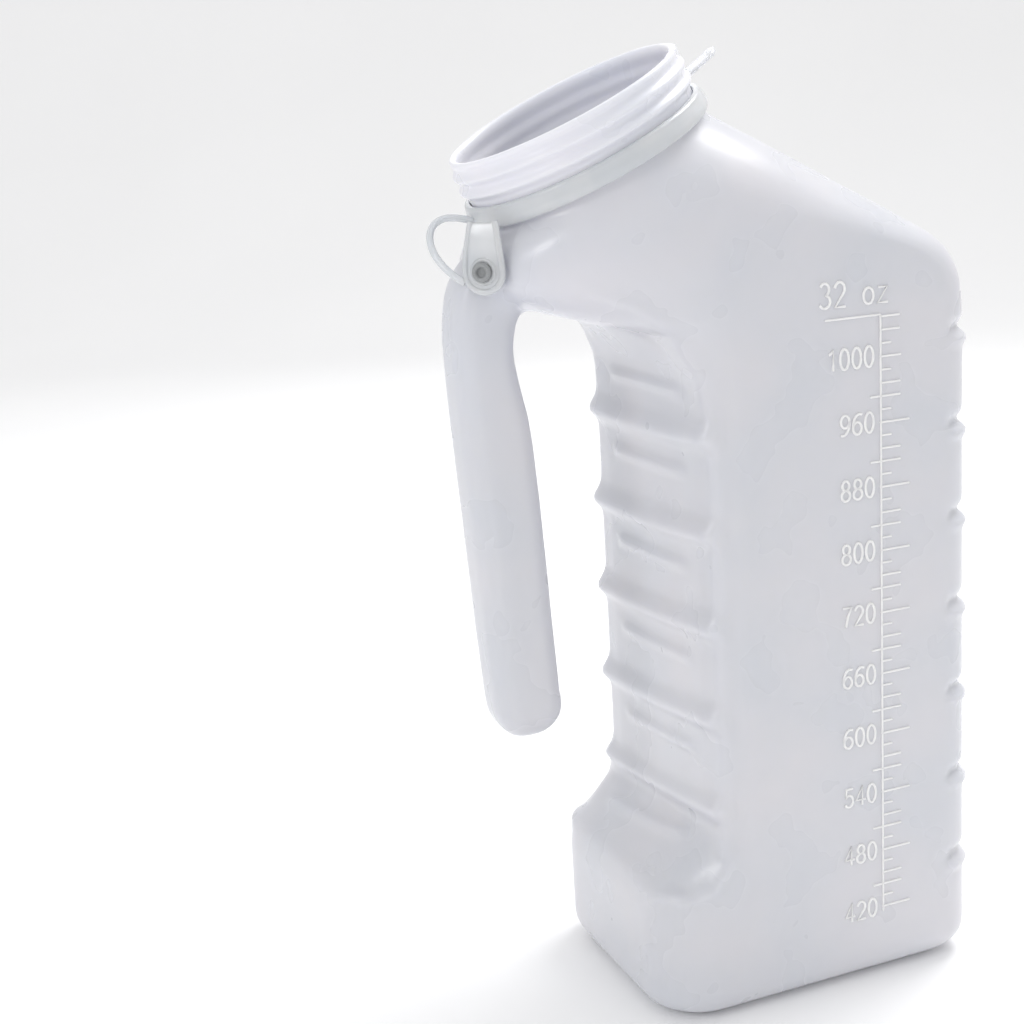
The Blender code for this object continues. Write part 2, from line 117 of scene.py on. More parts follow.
# ---------------------------------------------------------------- mesh helpers
def link(name, mesh):
    made = bpy.data.objects.new(name, mesh)
    bpy.context.scene.collection.objects.link(made)
    return made


def mesh_from(edit, name, sharp=50.0):
    bmesh.ops.recalc_face_normals(edit, faces=edit.faces)
    mesh = bpy.data.meshes.new(name)
    edit.to_mesh(mesh)
    edit.free()
    mesh.shade_smooth()
    mesh.set_sharp_from_angle(angle=math.radians(sharp))
    return mesh


def loft(rings, closed_path=False, caps=True):
    skin = bmesh.new()
    loops = [[skin.verts.new(point) for point in ring] for ring in rings]
    count = len(loops[0])
    pairs = list(zip(loops, loops[1:]))
    if closed_path:
        pairs.append((loops[-1], loops[0]))
    for low, high in pairs:
        for i in range(count):
            j = (i + 1) % count
            skin.faces.new((low[i], low[j], high[j], high[i]))
    if caps and not closed_path:
        skin.faces.new(loops[0])
        skin.faces.new(loops[-1])
    return skin


def baked(thing):
    """The object's mesh with its modifiers applied; the modifiers are removed."""
    graph = bpy.context.evaluated_depsgraph_get()
    mesh = bpy.data.meshes.new_from_object(thing.evaluated_get(graph))
    thing.modifiers.clear()
    thing.data = mesh
    return mesh


def finish_piece(name, mesh, body, stands_for, material):
    piece = link(name, mesh)
    mesh.materials.clear()
    mesh.materials.append(material)
    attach(piece, body)
    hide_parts(*stands_for.split())
    return piece


def smooth_step(value):
    value = np.clip(value, 0.0, 1.0)
    return value * value * (3.0 - 2.0 * value)


# ---------------------------------------------------------------- materials
def shader_material(name, colour, roughness, transmission=0.0, subsurface=0.0, ior=1.5):
    """A Principled material and its node tree; one-value settings go straight on the sockets."""
    made = bpy.data.materials.new(name)
    made.use_nodes = True
    tree = made.node_tree
    shader = tree.nodes["Principled BSDF"]
    shader.inputs["Base Color"].default_value = (*colour, 1.0)
    shader.inputs["Roughness"].default_value = roughness
    shader.inputs["IOR"].default_value = ior
    shader.inputs["Transmission Weight"].default_value = transmission
    shader.inputs["Subsurface Weight"].default_value = subsurface
    shader.inputs["Subsurface Radius"].default_value = (1.0, 1.0, 1.15)
    shader.inputs["Subsurface Scale"].default_value = 0.004
    return made, tree, shader


def noise(tree, scale, detail=3.0, roughness=0.5):
    place = tree.nodes.new("ShaderNodeTexCoord")
    texture = tree.nodes.new("ShaderNodeTexNoise")
    texture.inputs["Scale"].default_value = scale
    texture.inputs["Detail"].default_value = detail
    texture.inputs["Roughness"].default_value = roughness
    tree.links.new(place.outputs["Object"], texture.inputs["Vector"])
    return texture


def ramp(tree, source, stops):
    """Colour ramp over a noise's value."""
    made = tree.nodes.new("ShaderNodeValToRGB")
    marks = made.color_ramp.elements
    while len(marks) < len(stops):
        marks.new(0.5)
    for mark, (position, colour) in zip(marks, stops):
        mark.position = position
        mark.color = (*colour, 1.0)
    tree.links.new(source.outputs["Fac"], made.inputs["Fac"])
    return made


def add_bump(tree, shader, layers):
    """Stacked bumps: (noise scale, detail, height in metres)."""
    last = None
    for scale, detail, height in layers:
        texture = noise(tree, scale, detail)
        bump = tree.nodes.new("ShaderNodeBump")
        bump.inputs["Strength"].default_value = 1.0
        bump.inputs["Distance"].default_value = height
        tree.links.new(texture.outputs["Fac"], bump.inputs["Height"])
        if last:
            tree.links.new(last.outputs["Normal"], bump.inputs["Normal"])
        last = bump
    tree.links.new(last.outputs["Normal"], shader.inputs["Normal"])


def rough_variation(tree, shader, scale, low, high):
    texture = noise(tree, scale, 2.0)
    spread = tree.nodes.new("ShaderNodeMapRange")
    spread.inputs["From Min"].default_value = 0.3
    spread.inputs["From Max"].default_value = 0.7
    spread.inputs["To Min"].default_value = low
    spread.inputs["To Max"].default_value = high
    tree.links.new(texture.outputs["Fac"], spread.inputs["Value"])
    tree.links.new(spread.outputs["Result"], shader.inputs["Roughness"])


def frosted_plastic(name="frosted_polyethylene", painted_light_gain=1.0):
    """Milky blow-moulded polyethylene: faint lilac and blue clouding, a fine satin grain."""
    # painted_light_gain lightens the colour as painted light, for light passing through a thinner wall; 1.0
    # keeps the plastic's own colour
    made, tree, shader = shader_material(name, (0.63 * painted_light_gain, 0.64 * painted_light_gain, 0.68 * painted_light_gain), 0.30, 0.0, 0.40)
    clouds = noise(tree, 30.0, 2.0, 0.5)
    tint = ramp(tree, clouds, ((0.30, (0.60 * painted_light_gain, 0.615 * painted_light_gain, 0.665 * painted_light_gain)),
                               (0.50, (0.63 * painted_light_gain, 0.635 * painted_light_gain, 0.68 * painted_light_gain)),
                               (0.70, (0.655 * painted_light_gain, 0.648 * painted_light_gain, 0.688 * painted_light_gain))))
    tree.links.new(tint.outputs["Color"], shader.inputs["Base Color"])
    rough_variation(tree, shader, 60.0, 0.25, 0.33)
    add_bump(tree, shader, ((45.0, 1.0, 0.00022), (420.0, 1.0, 0.000012)))
    return made


NECK_PAINTED_LIGHT_GAIN = 1.16            # painted light: the neck's colour is painted lighter for the light its thinner wall passes


def clear_soft_plastic():
    """Flexible natural polyethylene: clearer, glossier and bluer than the bottle."""
    made, tree, shader = shader_material("clear_soft_polyethylene", (0.84, 0.865, 0.89), 0.20, 0.40, 0.15)
    clouds = noise(tree, 90.0, 3.0)
    tint = ramp(tree, clouds, ((0.35, (0.80, 0.83, 0.865)), (0.65, (0.88, 0.895, 0.915))))
    tree.links.new(tint.outputs["Color"], shader.inputs["Base Color"])
    rough_variation(tree, shader, 120.0, 0.18, 0.26)
    add_bump(tree, shader, ((160.0, 1.0, 0.00008), (600.0, 1.0, 0.000008)))
    return made


def cap_plastic():
    """The cap's natural polyethylene, a little milkier than the tether."""
    made, tree, shader = shader_material("cap_polyethylene", (0.80, 0.82, 0.85), 0.26, 0.25, 0.25)
    clouds = noise(tree, 70.0, 3.0)
    tint = ramp(tree, clouds, ((0.35, (0.76, 0.785, 0.83)), (0.65, (0.83, 0.84, 0.87))))
    tree.links.new(tint.outputs["Color"], shader.inputs["Base Color"])
    rough_variation(tree, shader, 120.0, 0.22, 0.31)
    add_bump(tree, shader, ((110.0, 1.0, 0.00010), (500.0, 1.0, 0.00001)))
    return made


def grey_plastic():
    made, tree, shader = shader_material("grey_plastic", (0.30, 0.31, 0.32), 0.42)
    speck = noise(tree, 2500.0, 3.0)
    tint = ramp(tree, speck, ((0.35, (0.25, 0.26, 0.265)), (0.65, (0.31, 0.32, 0.33))))
    tree.links.new(tint.outputs["Color"], shader.inputs["Base Color"])
    rough_variation(tree, shader, 700.0, 0.34, 0.50)
    add_bump(tree, shader, ((1500.0, 2.0, 0.00003),))
    return made


def scale_painted_highlight():
    """The raised scale: the same plastic, its colour painted whiter as a painted highlight for the light it
    catches.
    """
    made, tree, shader = shader_material("scale_painted_highlight", (0.96, 0.96, 0.97), 0.34, 0.0, 0.3)
    clouds = noise(tree, 300.0, 3.0)
    tint = ramp(tree, clouds, ((0.35, (0.93, 0.93, 0.95)), (0.65, (0.985, 0.985, 0.99))))
    tree.links.new(tint.outputs["Color"], shader.inputs["Base Color"])
    add_bump(tree, shader, ((1900.0, 2.0, 0.000015),))
    return made


# ---------------------------------------------------------------- the bottle's body
def outline(front, back, half, front_round, back_round, steps):
    points = []
    corners = ((back, 1.0, back_round, 0.0), (front, 1.0, front_round, 90.0),
               (front, -1.0, front_round, 180.0), (back, -1.0, back_round, 270.0))
    for edge, side, (long_r, wide_r), start in corners:
        inward = -1.0 if edge == back else 1.0
        centre_s = edge + inward * long_r
        centre_y = side * (half - wide_r)
        for k in range(steps + 1):
            angle = math.radians(start + 90.0 * k / steps)
            points.append((centre_s + long_r * math.cos(angle), centre_y + wide_r * math.sin(angle)))
    return points


def station_ring(station, steps=12):
    """station: front x, front z, back x, back z, half thickness, front and back corner radii."""
    front_x, front_z, back_x, back_z, half, front_s, front_y, back_s, back_y = station
    front = Vector((front_x, 0.0, front_z))
    back = Vector((back_x, 0.0, back_z))
    side = (back - front).normalized()
    shape = outline(0.0, (back - front).length, half, (front_s, front_y), (back_s, back_y), steps)
    return [front + side * s + ACROSS * y for s, y in shape]


def body_station(z):
    blend = float(smooth_step((z - 0.031) / 0.024))
    front = FOOT_X * (1.0 - blend) + GRIP_X * blend
    back = BACK_X - BACK_DRAFT * z / SHOULDER_Z
    half = HALF_THICK
    corner = (CORNER_BACK + 0.004) * (1.0 - blend) + CORNER_GRIP * blend
    drop = max(0.0, BASE_ROUND - z)
    if drop:
        cut = BASE_ROUND - math.sqrt(max(0.0, BASE_ROUND ** 2 - drop ** 2))
        back -= cut
        front += cut
        half -= cut
    return (front, z, back, z, half, corner, corner, CORNER_BACK, CORNER_BACK)


HEAD_STATIONS = (
    (-0.0345, 0.1790, 0.0485, 0.1795, 0.0362, 0.012, 0.012, 0.011, 0.011),
    (-0.0415, 0.1868, 0.0486, 0.1885, 0.0362, 0.020, 0.018, 0.012, 0.012),
    (-0.0540, 0.1905, 0.0478, 0.1970, 0.0362, 0.034, 0.022, 0.014, 0.014),
    (-0.0680, 0.1950, 0.0435, 0.2045, 0.0361, 0.050, 0.026, 0.018, 0.017),
    (-0.0770, 0.2000, 0.0335, 0.2115, 0.0357, 0.053, 0.028, 0.026, 0.021),
    (-0.0792, 0.2050, 0.0185, 0.2205, 0.0347, 0.046, 0.0295, 0.033, 0.024),
    (-0.0780, 0.2100, 0.0010, 0.2310, 0.0328, 0.039, 0.0300, 0.033, 0.0270),
)


def neck_station(depth):
    centre = RIM - NECK_UP * depth
    front = centre - NECK_SIDE * NECK_A
    back = centre + NECK_SIDE * NECK_A
    long_r = NECK_A * 0.985
    wide_r = NECK_B * 0.985
    return (front.x, front.z, back.x, back.z, NECK_B, long_r, wide_r, long_r, wide_r)


def curve_between(before, start, end, after, t):
    """Catmull-Rom curve from start to end."""
    return 0.5 * (2 * start + (end - before) * t
                  + (2 * before - 5 * start + 4 * end - after) * t * t
                  + (3 * start - before - 3 * end + after) * t ** 3)


def body_stations():
    stations = [body_station(BASE_ROUND * (1.0 - math.cos(math.radians(angle))))
                for angle in range(0, 91, 10)]
    stations += [body_station(z) for z in np.arange(0.011, SHOULDER_Z, 0.002)]
    keys = [body_station(0.165), body_station(SHOULDER_Z), *HEAD_STATIONS, neck_station(NECK_ROOT),
            neck_station(0.0150)]
    steps = 8
    for i in range(1, len(keys) - 2):
        before, start, end, after = (np.array(key) for key in keys[i - 1:i + 3])
        for k in range(steps):
            stations.append(tuple(curve_between(before, start, end, after, k / steps)))
    return stations + [neck_station(NECK_ROOT), neck_station(0.0120)]


HANDLE_STATIONS = (
    (-0.0640, 0.2058, 0.0080, 0.0086), (-0.0712, 0.2040, 0.0086, 0.0088), (-0.0762, 0.1980, 0.0092, 0.0088),
    (-0.0782, 0.1900, 0.0086, 0.0088), (-0.0786, 0.1820, 0.0082, 0.0088), (-0.0778, 0.1730, 0.0088, 0.0088),
    (-0.0767, 0.1640, 0.0095, 0.0088), (-0.0757, 0.1500, 0.0097, 0.0088), (-0.0746, 0.1300, 0.0097, 0.0088),
    (-0.0737, 0.1120, 0.0096, 0.0088), (-0.0727, 0.0950, 0.0095, 0.0087), (-0.0723, 0.0885, 0.0094, 0.0086),
)
HANDLE_TIP_Z = 0.0792


def handle_rings():
    keys = [np.array(station) for station in HANDLE_STATIONS]
    route = []
    for i in range(len(keys) - 1):
        before, start, end = keys[max(i - 1, 0)], keys[i], keys[i + 1]
        after = keys[min(i + 2, len(keys) - 1)]
        for k in range(5):
            route.append(curve_between(before, start, end, after, k / 5))
    last_x, last_z, last_half_x, last_half_y = HANDLE_STATIONS[-1]
    drop = last_z - HANDLE_TIP_Z
    for angle in range(0, 86, 8):
        share = math.cos(math.radians(angle))
        route.append(np.array((last_x + 0.0004, last_z - drop * math.sin(math.radians(angle)),
                               last_half_x * share, last_half_y * share)))
    rings = []
    centres = [Vector((x, 0.0, z)) for x, z, _, _ in route]
    for i, (_, _, half_x, half_y) in enumerate(route):
        along = (centres[min(i + 1, len(centres) - 1)] - centres[max(i - 1, 0)]).normalized()
        side = ACROSS.cross(along)
        corner = (half_x * 0.68, half_y * 0.68)
        shape = outline(-half_x, half_x, half_y, corner, corner, 8)
        rings.append([centres[i] + side * s + ACROSS * y for s, y in shape])
    return rings


def vertex_array(mesh, field="co"):
    flat = np.zeros(len(mesh.vertices) * 3)
    mesh.vertices.foreach_get(field, flat)
    return flat.reshape(-1, 3)


def smooth_where(thing, weights, repeat):
    """Smooth modifier, weighted by an array of vertex weights, then applied."""
    group = thing.vertex_groups.new(name="soften")
    for index in np.nonzero(weights > 0.01)[0]:
        group.add([int(index)], float(weights[index]), "REPLACE")
    soften = thing.modifiers.new("soften", "SMOOTH")
    soften.factor = 0.5
    soften.iterations = repeat
    soften.vertex_group = group.name
    baked(thing)
    thing.vertex_groups.clear()


def bell(value, width):
    return np.exp(-(value / width) ** 2)


def path_distance(x, z, points):
    """Distance in the XZ plane from each vertex to a line of points."""
    best = np.full(len(x), 1.0)
    for (ax, az), (bx, bz) in zip(points, points[1:]):
        dx, dz = bx - ax, bz - az
        t = np.clip(((x - ax) * dx + (z - az) * dz) / (dx * dx + dz * dz), 0.0, 1.0)
        best = np.minimum(best, np.hypot(x - ax - t * dx, z - az - t * dz))
    return best


GRIP_EDGE = ((-0.0480, 0.0368), (-0.0410, 0.0372), (-0.0345, 0.0400), (-0.0305, 0.0460), (-0.0295, 0.0560),
             (-0.0295, 0.160), (-0.0312, 0.176), (-0.0385, 0.1880), (-0.0495, 0.1955), (-0.0600, 0.1985))
# How much each ridge rises from the middle toward the near side, and falls toward the far side.
RIDGE_LEAN = (0.0034, 0.0028, 0.0020, 0.0012, 0.0005)


def moulded_detail(where):
    """How far the surface stands out at each vertex: finger ridges, grip border, back grooves."""
    x, y, z = where.T
    side = np.abs(y)
    turn = np.clip(side / SIDE_REACH, 0.0, 1.0) ** 2
    on_grip = smooth_step((-0.0272 - x) / 0.0040) * smooth_step((x + 0.060) / 0.004)
    on_grip *= smooth_step((0.180 - z) / 0.008) * smooth_step((z - 0.040) / 0.006)
    rise = np.zeros(len(x))
    scallop = np.zeros(len(x))
    middle = smooth_step((0.0235 - side) / 0.007)
    for i, lean in enumerate(RIDGE_LEAN):
        centre = RIDGE_FIRST_Z + i * RIDGE_PITCH - lean * y / SIDE_REACH + 0.0012 * turn
        away = z - centre
        rise += RIDGE_RISE * bell(away, np.where(away > 0.0, 0.0033, 0.0027))
        rise += 0.0011 * bell(away + 0.0098, 0.0016) * middle
        scallop += bell(away, 0.0030)
    rise += 0.0011 * bell(z - 0.1712, 0.0017) * middle
    rise *= on_grip
    rise += 0.0009 * bell(z - 0.0372 + 0.0010 * turn, 0.0024) * smooth_step((-0.0400 - x) / 0.004)
    on_side = smooth_step((side - 0.024) / 0.006) * smooth_step((-0.0240 - x) / 0.003)
    border = bell(path_distance(x + 0.0009 * scallop, z, GRIP_EDGE), 0.0019)
    inset = smooth_step((-0.0292 - x) / 0.0022) * smooth_step((0.184 - z) / 0.012)
    inset *= smooth_step((z - 0.044) / 0.010)
    rise += (0.0011 * border - 0.0008 * inset * (1.0 - border)) * on_side
    at_back = smooth_step((x - 0.0375) / 0.004) * smooth_step((side - 0.0225) / 0.006)
    at_back *= smooth_step((0.0500 - x) / 0.0022) * 0.7 + 0.3
    for i in range(GROOVE_COUNT):
        away = z - GROOVE_FIRST_Z - GROOVE_PITCH * i
        rise += (0.0011 * bell(away + 0.0031, 0.0016) - 0.0016 * bell(away, 0.0016)) * at_back
    return rise


def make_body_shell(material):
    shell = link("bottle_shell", mesh_from(loft([station_ring(s) for s in body_stations()]), "bottle_shell"))
    arm = mesh_from(loft(handle_rings()), "handle_arm")
    joined = bmesh.new()
    joined.from_mesh(shell.data)
    joined.from_mesh(arm)
    joined.to_mesh(shell.data)
    joined.free()
    remesh = shell.modifiers.new("remesh", "REMESH")
    remesh.mode = "VOXEL"
    remesh.voxel_size = 0.00105
    baked(shell)
    everywhere = np.full(len(shell.data.vertices), 1.0)
    smooth_where(shell, everywhere, 4)
    where = vertex_array(shell.data)
    junction = np.array((-0.0700, 0.0, 0.1945))
    away = np.linalg.norm((where - junction) / np.array((1.0, 1.0, 0.8)), axis=1)
    smooth_where(shell, smooth_step((0.019 - away) / 0.008), 45)
    where = vertex_array(shell.data)
    normals = vertex_array(shell.data, "normal")
    where += normals * moulded_detail(where)[:, None]
    shell.data.vertices.foreach_set("co", where.ravel())
    shell.data.update()
    smooth_where(shell, np.full(len(where), 1.0), 1)
    trimmed = bmesh.new()
    trimmed.from_mesh(shell.data)
    bmesh.ops.bisect_plane(trimmed, geom=trimmed.verts[:] + trimmed.edges[:] + trimmed.faces[:],
                           plane_co=RIM - NECK_UP * SEAM_DEPTH, plane_no=NECK_UP, clear_outer=True)
    for vertex in trimmed.verts:
        vertex.co.z = max(vertex.co.z, 0.0)
    mesh = mesh_from(trimmed, "bottle_shell", 80.0)
    bpy.data.objects.remove(shell)
    piece = finish_piece("bottle_shell", mesh, "bottle_body", "vessel head", material)
    wall = piece.modifiers.new("wall", "SOLIDIFY")
    wall.thickness = WALL
    wall.offset = -1.0


# ---------------------------------------------------------------- neck, ring, cap: ovals round the neck
def oval_loop(radius, height):
    wide = radius - NECK_A + NECK_B
    if radius < NECK_A * 0.9:
        wide = radius * NECK_B / NECK_A
    loop = []
    for k in range(OVAL_STEPS):
        angle = 2.0 * math.pi * k / OVAL_STEPS
        loop.append(NECK_FRAME @ Vector((radius * math.cos(angle), wide * math.sin(angle), height)))
    return loop


def rounded_profile(points, radius, steps=5):
    """A closed (radius, height) outline with every corner rounded by an arc-like curve."""
    made = []
    count = len(points)
    for i, corner in enumerate(points):
        corner = Vector(corner)
        before = Vector(points[i - 1]) - corner
        after = Vector(points[(i + 1) % count]) - corner
        reach = min(radius, before.length * 0.45, after.length * 0.45)
        start = corner + before.normalized() * reach
        end = corner + after.normalized() * reach
        for k in range(steps + 1):
            t = k / steps
            made.append(start * (1 - t) ** 2 + corner * 2 * t * (1 - t) + end * t * t)
    return made


def neck_outer(depth):
    """Outer radius of the neck at a depth below the lip: two rounded ridges and a thick lip."""
    radius = NECK_A
    radius += 0.0013 * float(bell(depth - 0.0044, 0.0012))
    radius += 0.0014 * float(bell(depth - 0.0084, 0.0012))
    radius += 0.0004 * float(bell(depth - 0.0008, 0.0009))
    return radius


def turned_oval(name, profile):
    """A closed (radius, height) outline carried round the neck."""
    rings = [oval_loop(radius, height) for radius, height in profile]
    return mesh_from(loft(rings, closed_path=True), name, 60.0)


def make_neck(material):
    outside = [(neck_outer(depth), -depth)
               for depth in np.arange(SEAM_DEPTH - GAP / 3, 0.0008, -0.00025)]
    lip = [(NECK_A + 0.0003, -0.0004), (NECK_A, -0.0001), (NECK_A - 0.0005, 0.0001),
           (NECK_A - 0.0010, -0.0001), (NECK_A - 0.0014, -0.0006), (NECK_A - 0.0016, -0.0013)]
    inside = [(NECK_A - WALL - 0.0002 + 0.0004 * float(bell(depth - 0.0044, 0.0015))
               + 0.0004 * float(bell(depth - 0.0084, 0.0015)), -depth)
              for depth in np.arange(0.0020, SEAM_DEPTH, 0.0006)]
    mesh = turned_oval("bottle_neck", outside + lip + inside)
    finish_piece("bottle_neck", mesh, "bottle_body", "head", material)


def make_ring(material):
    inner = NECK_A + GAP
    outer = NECK_A + RING_OUT
    corners = ((inner, -RING_BOTTOM), (outer - 0.0005, -RING_BOTTOM), (outer, -RING_BOTTOM + 0.0018),
               (outer - 0.0009, -RING_TOP + 0.0002), (inner, -RING_TOP + 0.0006))
    mesh = turned_oval("neck_ring", rounded_profile(corners, 0.0014, 6))
    finish_piece("neck_ring", mesh, "bottle_body", "tether", material)


# ---------------------------------------------------------------- the tether's lug and strap
def tube(name, points, radius, closed=False):
    curve = bpy.data.curves.new(name, "CURVE")
    curve.dimensions = "3D"
    line = curve.splines.new("NURBS")
    line.points.add(len(points) - 1)
    for knot, point in zip(line.points, points):
        knot.co = (*point, 1.0)
    line.order_u = 4
    line.use_endpoint_u = not closed
    line.use_cyclic_u = closed
    line.resolution_u = 10
    curve.bevel_depth = radius
    curve.bevel_resolution = 6
    curve.use_fill_caps = True
    drawn = link(name + "_curve", curve)
    graph = bpy.context.evaluated_depsgraph_get()
    mesh = bpy.data.meshes.new_from_object(drawn.evaluated_get(graph))
    bpy.data.objects.remove(drawn)
    welded = bmesh.new()
    welded.from_mesh(mesh)
    bmesh.ops.remove_doubles(welded, verts=welded.verts, dist=0.000002)
    return mesh_from(welded, name, 70.0)


def lug_outline():
    """The teardrop's outline in the plate's own plane, from the ring down round the eyelet."""
    points = [(0.0032, 0.0118), (0.0040, 0.0070), (0.0049, 0.0015)]
    points += [(LUG_ROUND * math.cos(a), LUG_ROUND * math.sin(a))
               for a in np.radians(np.arange(-15.0, -166.0, -15.0))]
    return points + [(-0.0049, 0.0015), (-0.0040, 0.0070), (-0.0032, 0.0118)]


def lug_point(along, up, out):
    """A point of the lug; above the eyelet it bends in toward the ring."""
    bend = max(0.0, up - LUG_BEND_FROM)
    return LUG_EYE + LUG_ALONG * along + LUG_UP * up + LUG_FACING * (out - bend * bend * LUG_BEND)


def make_lug(material):
    middle = LUG_THICK * 0.5
    face = bmesh.new()
    grid = []
    for up in np.linspace(LUG_TOP, -0.0046, 26):
        if up > LUG_SIDE_FOOT:
            half = np.interp(up, (LUG_SIDE_FOOT, 0.0070, LUG_TOP), (0.0048, 0.0039, 0.0031))
        else:
            half = math.sqrt(max(1e-9, LUG_ROUND ** 2 - min(0.0, up) ** 2))
        grid.append([lug_point(half * t, up, middle) for t in np.linspace(-1.0, 1.0, 17)])
    cells = [[face.verts.new(point) for point in row] for row in grid]
    for high, low in zip(cells, cells[1:]):
        for i in range(len(high) - 1):
            face.faces.new((high[i], high[i + 1], low[i + 1], low[i]))
    hole_centre = LUG_EYE + LUG_FACING * middle
    hole = [f for f in face.faces if (f.calc_center_median() - hole_centre).length < STUD_RADIUS + 0.0002]
    bmesh.ops.delete(face, geom=hole, context="FACES")
    web = finish_piece("lug_web", mesh_from(face, "lug_web", 80.0), "bottle_body", "tether",
                       material)
    thick = web.modifiers.new("thick", "SOLIDIFY")
    thick.thickness = 0.0009
    thick.offset = 0.0
    rim = tube("lug_rim", [lug_point(along, up, middle) for along, up in lug_outline()], 0.00085)
    finish_piece("lug_rim", rim, "bottle_body", "tether", material)
    reach = STUD_RADIUS + 0.0009
    circle = [lug_point(reach * math.cos(a), reach * math.sin(a), middle)
              for a in np.linspace(0.0, 2.0 * math.pi, 16, endpoint=False)]
    eye = tube("lug_eyelet", circle, 0.0008, closed=True)
    finish_piece("lug_eyelet", eye, "bottle_body", "tether", material)


STRAP_ROUTE = ((-0.0846, -0.0101, 0.2032), (-0.0872, -0.0083, 0.2050), (-0.0896, -0.0048, 0.2085),
               (-0.0903, -0.0015, 0.2128), (-0.0888, 0.0010, 0.2166), (-0.0852, 0.0022, 0.2186),
               (-0.0815, 0.0022, 0.2184), (-0.0772, 0.0015, 0.2172))


def make_strap(material):
    mesh = tube("strap", [Vector(point) for point in STRAP_ROUTE], STRAP_RADIUS)
    finish_piece("strap", mesh, "bottle_body", "tether", material)


def turned(name, start, way, profile, steps=48):
    """A turned piece: (radius, distance along way) points from one end to the other."""
    first = way.orthogonal().normalized()
    second = way.cross(first)
    rings = []
    for radius, height in profile:
        ring = []
        for k in range(steps):
            angle = 2.0 * math.pi * k / steps
            ring.append(start + way * height + (first * math.cos(angle) + second * math.sin(angle)) * radius)
        rings.append(ring)
    return mesh_from(loft(rings), name, 50.0)


def make_stud(material):
    top = LUG_THICK + 0.0002
    profile = [(STUD_RADIUS * 0.9, -STUD_REACH), (STUD_RADIUS, -STUD_REACH + 0.0003), (STUD_RADIUS, top),
               (STUD_HEAD - 0.0002, top), (STUD_HEAD, top + 0.0003), (STUD_HEAD, top + 0.0006),
               (STUD_HEAD - 0.0004, top + 0.0011), (STUD_HEAD - 0.0009, top + 0.0012),
               (STUD_HEAD - 0.0012, top + 0.0010), (STUD_HEAD - 0.0014, top + 0.0002), (0.0002, top - 0.0001)]
    mesh = turned("stud_rivet", LUG_EYE, LUG_FACING, profile)
    finish_piece("stud_rivet", mesh, "bottle_body", "stud", material)


# ---------------------------------------------------------------- hinge and cap
def oval_reach(long_r):
    wide_r = long_r - NECK_A + NECK_B
    return 1.0 / math.hypot(math.sin(HINGE_TURN) / long_r, math.cos(HINGE_TURN) / wide_r)


HINGE_OUT = ACROSS * math.cos(HINGE_TURN) + NECK_SIDE * math.sin(HINGE_TURN)
HINGE_AXIS = NECK_SIDE * math.cos(HINGE_TURN) - ACROSS * math.sin(HINGE_TURN)
PIVOT = RIM - NECK_UP * HINGE_DEPTH + HINGE_OUT * HINGE_REACH
OPENED = Matrix.Translation(PIVOT) @ Matrix.Rotation(-OPEN_ANGLE, 4, HINGE_AXIS) @ Matrix.Translation(-PIVOT)


def rounded_block(name, centre, axes, size, bevel):
    solid = bmesh.new()
    axes_frame = Matrix(axes).transposed().to_4x4()
    place = Matrix.Translation(centre) @ axes_frame @ Matrix.Diagonal((*size, 1.0))
    bmesh.ops.create_cube(solid, size=1.0, matrix=place)
    bmesh.ops.bevel(solid, geom=solid.edges[:], offset=bevel, segments=3, affect="EDGES", profile=0.5)
    return mesh_from(solid, name, 60.0)


def knuckle(name, centre, length):
    half = length / 2
    profile = [(HINGE_RADIUS * 0.8, -half), (HINGE_RADIUS, -half + 0.0002), (HINGE_RADIUS, half - 0.0002),
               (HINGE_RADIUS * 0.8, half)]
    return turned(name, centre, HINGE_AXIS, profile, 32)


def join_meshes(name, meshes):
    joined = bmesh.new()
    for mesh in meshes:
        joined.from_mesh(mesh)
    made = bpy.data.meshes.new(name)
    joined.to_mesh(made)
    joined.free()
    return made


def make_tether_hinge(material):
    at_ring = RIM - NECK_UP * ((RING_TOP + RING_BOTTOM) / 2)
    inward = at_ring + HINGE_OUT * oval_reach(NECK_A + RING_OUT * ARM_IN_RING) - PIVOT
    way = inward.normalized()
    arm = rounded_block("arm", PIVOT + inward / 2, (HINGE_AXIS, way, HINGE_AXIS.cross(way)),
                        (HINGE_LENGTH * MIDDLE_KNUCKLE, inward.length, ARM_THICK), ARM_BEVEL)
    mesh = join_meshes("tether_hinge", [arm, knuckle("barrel", PIVOT, HINGE_LENGTH * MIDDLE_KNUCKLE)])
    finish_piece("tether_hinge", mesh, "bottle_body", "tether", material)


CAP_INSIDE = NECK_A + NECK_RIDGE + CAP_CLEAR
CAP_OUTSIDE = CAP_INSIDE + CAP_WALL


def make_cap_shell(material):
    """The cap, drawn shut and then swung open about the hinge."""
    inside, outside, roof, foot = CAP_INSIDE, CAP_OUTSIDE, GAP, -CAP_SKIRT
    top = roof + CAP_TOP
    profile = [(0.0, roof), (0.010, roof), (0.020, roof), (inside - 0.0060, roof),
               (inside - 0.0056, roof - 0.0010), (inside - 0.0050, roof - 0.0010), (inside - 0.0046, roof),
               (inside - 0.0008, roof - 0.0001), (inside - 0.0002, roof - 0.0004), (inside, roof - 0.0010),
               (inside, foot + 0.0026), (inside - 0.00025, foot + 0.0018), (inside, foot + 0.0008),
               (inside + 0.0003, foot), (outside - 0.0003, foot), (outside, foot + 0.0004),
               (outside, top - 0.0016), (outside - 0.0002, top - 0.0008), (outside - 0.0008, top - 0.0002),
               (outside - 0.0016, top), (outside - 0.0052, top), (outside - 0.0058, top - 0.0004),
               (0.020, top - 0.0004), (0.0, top - 0.0004)]
    rings = [oval_loop(max(radius, 0.0004), height) for radius, height in profile]
    shell = mesh_from(loft(rings), "cap_shell", 40.0)
    shell.transform(OPENED)
    finish_piece("cap_shell", shell, "cap_body", "cap", material)


